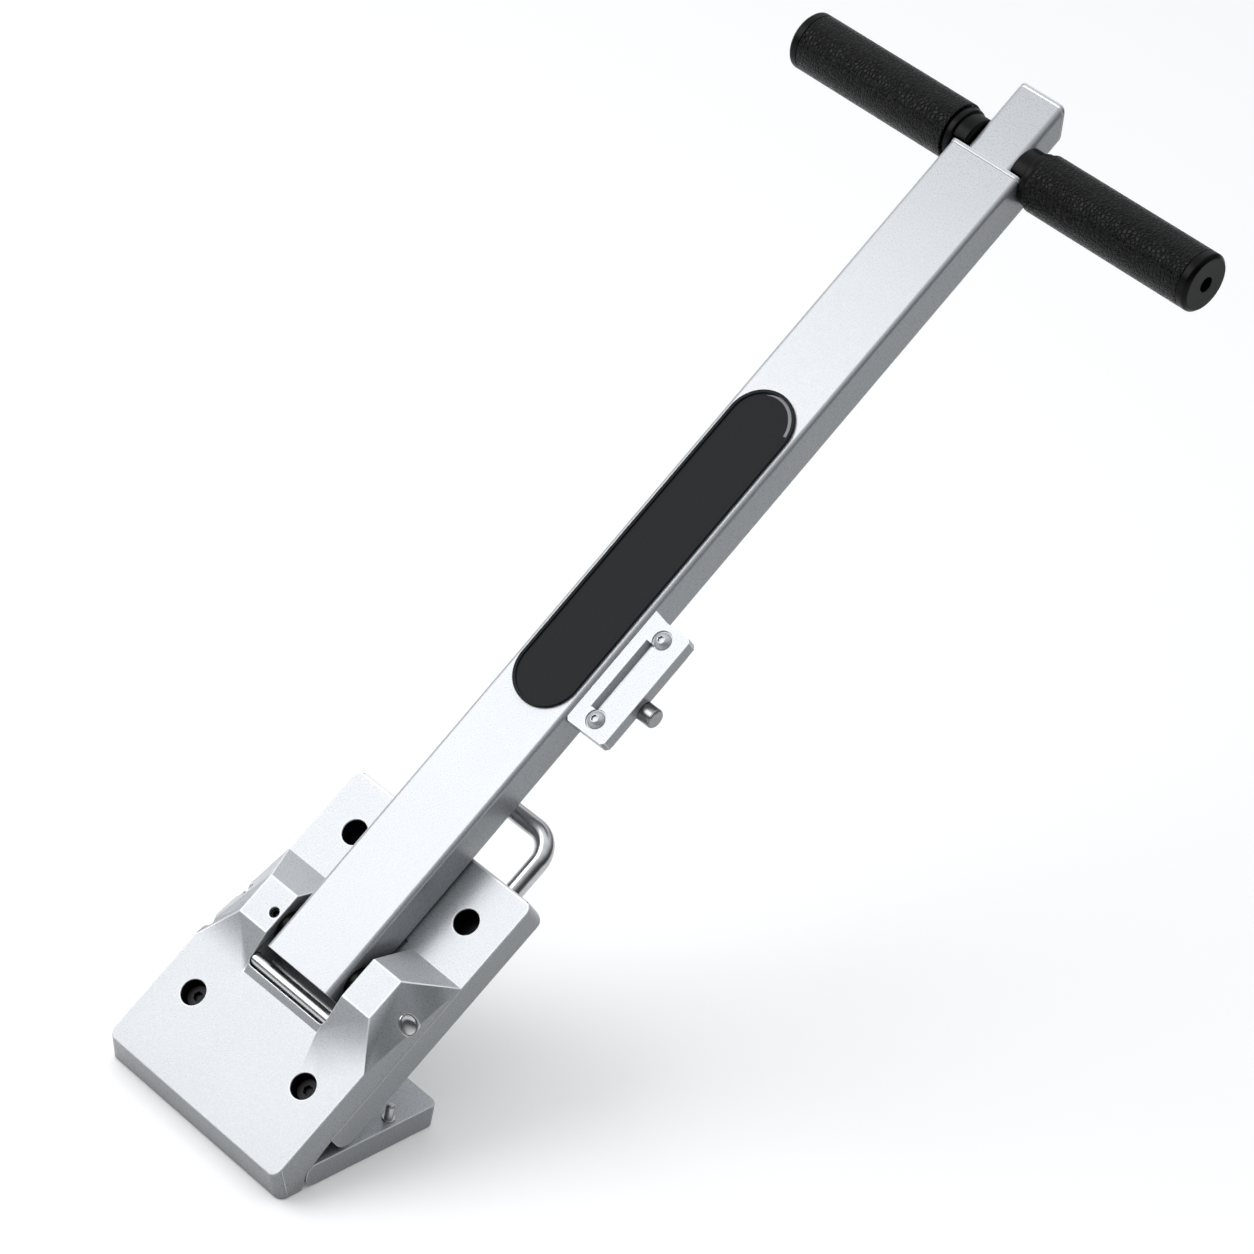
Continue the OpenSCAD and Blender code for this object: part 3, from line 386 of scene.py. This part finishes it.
def blended(edge, share):
    """Whether both faces at the edge look sideways by more than the share, so it is shaded soft."""
    return (len(edge.link_faces) == 2
            and all(abs(face.normal.x) > share for face in edge.link_faces))


def sticks_out(edge, angle, share):
    """Whether the edge is rounded: it sticks out by the angle or more, and isn't blended."""
    return (len(edge.link_faces) == 2
            and edge.calc_face_angle_signed(0) >= math.radians(angle)
            and not blended(edge, share))


def round_edges(bm, edges, width, mark):
    """Rounds the edges, and marks the new faces, which the materials paint brighter for wear and as
    painted highlights.
    """
    made = bmesh.ops.bevel(
        bm, geom=edges, offset=width * MM, offset_type="OFFSET", segments=2, profile=0.5,
        affect="EDGES", clamp_overlap=False, loop_slide=False)
    for face in made["faces"]:
        face[mark] = 1.0


def dress(node, width, angle=ROUNDED_ANGLE, blend=UNBLENDED, material=None, holes=None,
          reshape=None):
    """A copy of a CAD node with its outer edges rounded, which stands for the node.

    Flat faces stay flat, small steps of curved faces are shaded as one, and the rounded edges
    carry the mark by which the materials paint them brighter, for wear and as painted highlights.
    width is in mm and angle in degrees. material takes the place of the slot's own, holes is the
    dark material that paints shade inside the open round holes, and reshape moves the copy's
    points first.
    """
    mesh = NODES[node].data.copy()
    mesh.materials.clear()
    bm = bmesh.new()
    bm.from_mesh(mesh)
    if reshape:
        reshape(bm)
    bmesh.ops.remove_doubles(bm, verts=bm.verts, dist=MERGE)
    bmesh.ops.dissolve_limit(bm, angle_limit=FLAT_ANGLE, verts=bm.verts, edges=bm.edges)
    mark = bm.faces.layers.float.new("edge")
    outer = [edge for edge in bm.edges if sticks_out(edge, angle, blend)]
    if width and outer:
        round_edges(bm, outer, width, mark)
    for face in bm.faces:
        face.smooth = True
        # Painted shade: faces inside the open round holes take the dark holes material
        if holes and not face[mark] and in_a_bore(face.calc_center_median()):
            face.material_index = 1
    for edge in bm.edges:
        rounded = any(face[mark] for face in edge.link_faces)
        crease = len(edge.link_faces) != 2 or edge.calc_face_angle(0) > CREASE_ANGLE
        edge.smooth = rounded or blended(edge, blend) or not crease
    bm.to_mesh(mesh)
    bm.free()
    piece = bpy.data.objects.new(node + "_dressed", mesh)
    scene.collection.objects.link(piece)
    mesh.materials.append(material or MATERIALS[SLOTS[node]])
    if holes:
        mesh.materials.append(holes)
    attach(piece, BODY[node])
    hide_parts(node)
    weighted = piece.modifiers.new("flat_faces", "WEIGHTED_NORMAL")
    weighted.keep_sharp = True
    return piece


def dress_spring():
    """The lock's spring, dressed with no rounded edges and given a mesh of its own."""
    spring = dress("plunger_spring", 0)
    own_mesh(spring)


BORES = find_bores()

# Where a piece differs from the rest: the head's blunter edges are rounded too, its sloping sides
# are blended, and black steel inside the head's and the block's open round holes paints their shade
SPECIAL = {
    "head_body": {"angle": 14, "blend": 0.33, "holes": MATERIALS["black_steel"]},
    "lower_block": {"holes": MATERIALS["black_steel"]},
    "rear_bail": {"material": MATERIALS["bare_steel"]},
    "pivot_pin": {"reshape": slope_pin_ends},
    "lock_screws": {"material": MATERIALS["tube_metal"]},
    "plunger_knob": {"material": DARKER_STEEL},
}
for node, width in DRESSED.items():
    dress(node, width, **SPECIAL.get(node, {}))
dress_spring()
for node, piece in NODES.items():
    if node not in DRESSED and node != "plunger_spring":
        piece.data.materials.clear()
        piece.data.materials.append(MATERIALS[SLOTS[node]])


# Stage, light and camera

FLOOR_HALF = 300  # wide enough to reach the horizon in low views
FLOOR_Z = -0.0002
FLOOR_SEEN = 0.95
FLOOR_BOUNCE = 0.12  # its colour for diffuse rays, so that it lights the part little from below
FLOOR_GLOW = 0.14  # what the floor adds of its own where it is seen
SKY_COLOUR = (0.965, 0.982, 1)
SKY_TOWARDS = (-0.3, 0.15, 0.85)
SKY_RAMP = (0.15, 0.95, 0.06, 1.25)
KEY_PLACE = (-0.78, -0.69, 1.27)
KEY_AIM = (0, 0, 0.1)
KEY_SIZE = 1.2
KEY_POWER = 11.2
CAMERA_PLACE = (1.272932, -1.394184, 1.609258)
CAMERA_RIGHT = (0.69019249, 0.70200049, 0.1755837)
CAMERA_UP = (-0.50682663, 0.29577561, 0.80971819)
LENS = 130.58
SENSOR = 36
CLIP = (0.05, 900)


def grey(level):
    return (level, level, level)


def add_floor():
    """A white floor that keeps the part's shadow, and looks white to mirrors and glass too."""
    corners = [(x * FLOOR_HALF, y * FLOOR_HALF, FLOOR_Z) for x, y in
               ((-1, -1), (1, -1), (1, 1), (-1, 1))]
    mesh = bpy.data.meshes.new("floor")
    mesh.from_pydata(corners, [], [(0, 1, 2, 3)])
    floor = bpy.data.objects.new("floor", mesh)
    scene.collection.objects.link(floor)
    t = Tree("floor")
    t.tree.nodes.remove(t.shader)
    path = t.add("ShaderNodeLightPath")
    seen = t.math("MAXIMUM", path.outputs["Is Camera Ray"], path.outputs["Is Glossy Ray"])
    seen = t.math("MAXIMUM", seen, path.outputs["Is Transmission Ray"])
    diffuse = t.add("ShaderNodeBsdfDiffuse")
    t.link(t.mix(seen, grey(FLOOR_BOUNCE), grey(FLOOR_SEEN)), diffuse.inputs["Color"])
    glow = t.add("ShaderNodeEmission")
    t.link(t.math("MULTIPLY", seen, FLOOR_GLOW), glow.inputs["Strength"])
    both = t.add("ShaderNodeAddShader")
    t.link(diffuse.outputs[0], both.inputs[0])
    t.link(glow.outputs[0], both.inputs[1])
    t.link(both.outputs[0], t.tree.nodes["Material Output"].inputs["Surface"])
    mesh.materials.append(t.material)


def add_world():
    """A soft sky, brightest overhead and a little to the left, and dim towards the horizon."""
    world = bpy.data.worlds.new("world")
    scene.world = world
    world.use_nodes = True
    tree = world.node_tree
    background = tree.nodes["Background"]
    background.inputs["Color"].default_value = (*SKY_COLOUR, 1)
    place = tree.nodes.new("ShaderNodeTexCoord")
    dot = tree.nodes.new("ShaderNodeVectorMath")
    dot.operation = "DOT_PRODUCT"
    dot.inputs[1].default_value = Vector(SKY_TOWARDS).normalized()
    tree.links.new(place.outputs["Generated"], dot.inputs[0])
    ramp = tree.nodes.new("ShaderNodeMapRange")
    ramp.interpolation_type = "SMOOTHSTEP"
    set_range(ramp, SKY_RAMP)
    tree.links.new(dot.outputs["Value"], ramp.inputs["Value"])
    tree.links.new(ramp.outputs["Result"], background.inputs["Strength"])


def add_key_lamp():
    data = bpy.data.lights.new("key", "AREA")
    data.shape = "DISK"
    data.size = KEY_SIZE
    data.energy = KEY_POWER
    lamp = bpy.data.objects.new("key", data)
    scene.collection.objects.link(lamp)
    lamp.location = KEY_PLACE
    lamp.rotation_mode = "QUATERNION"
    lamp.rotation_quaternion = (Vector(KEY_PLACE) - Vector(KEY_AIM)).to_track_quat("Z", "Y")


def add_camera():
    """The camera at the photograph's angle, rolled a little as the photograph is."""
    data = bpy.data.cameras.new("camera")
    data.sensor_width = SENSOR
    data.lens = LENS
    data.clip_start, data.clip_end = CLIP
    camera = bpy.data.objects.new("camera", data)
    scene.collection.objects.link(camera)
    right = Vector(CAMERA_RIGHT)
    up = Vector(CAMERA_UP)
    turn = Matrix((right, up, right.cross(up))).transposed().to_4x4()
    camera.matrix_world = Matrix.Translation(CAMERA_PLACE) @ turn
    scene.camera = camera


add_camera()
add_floor()
add_world()
add_key_lamp()
scene.view_settings.view_transform = "Standard"
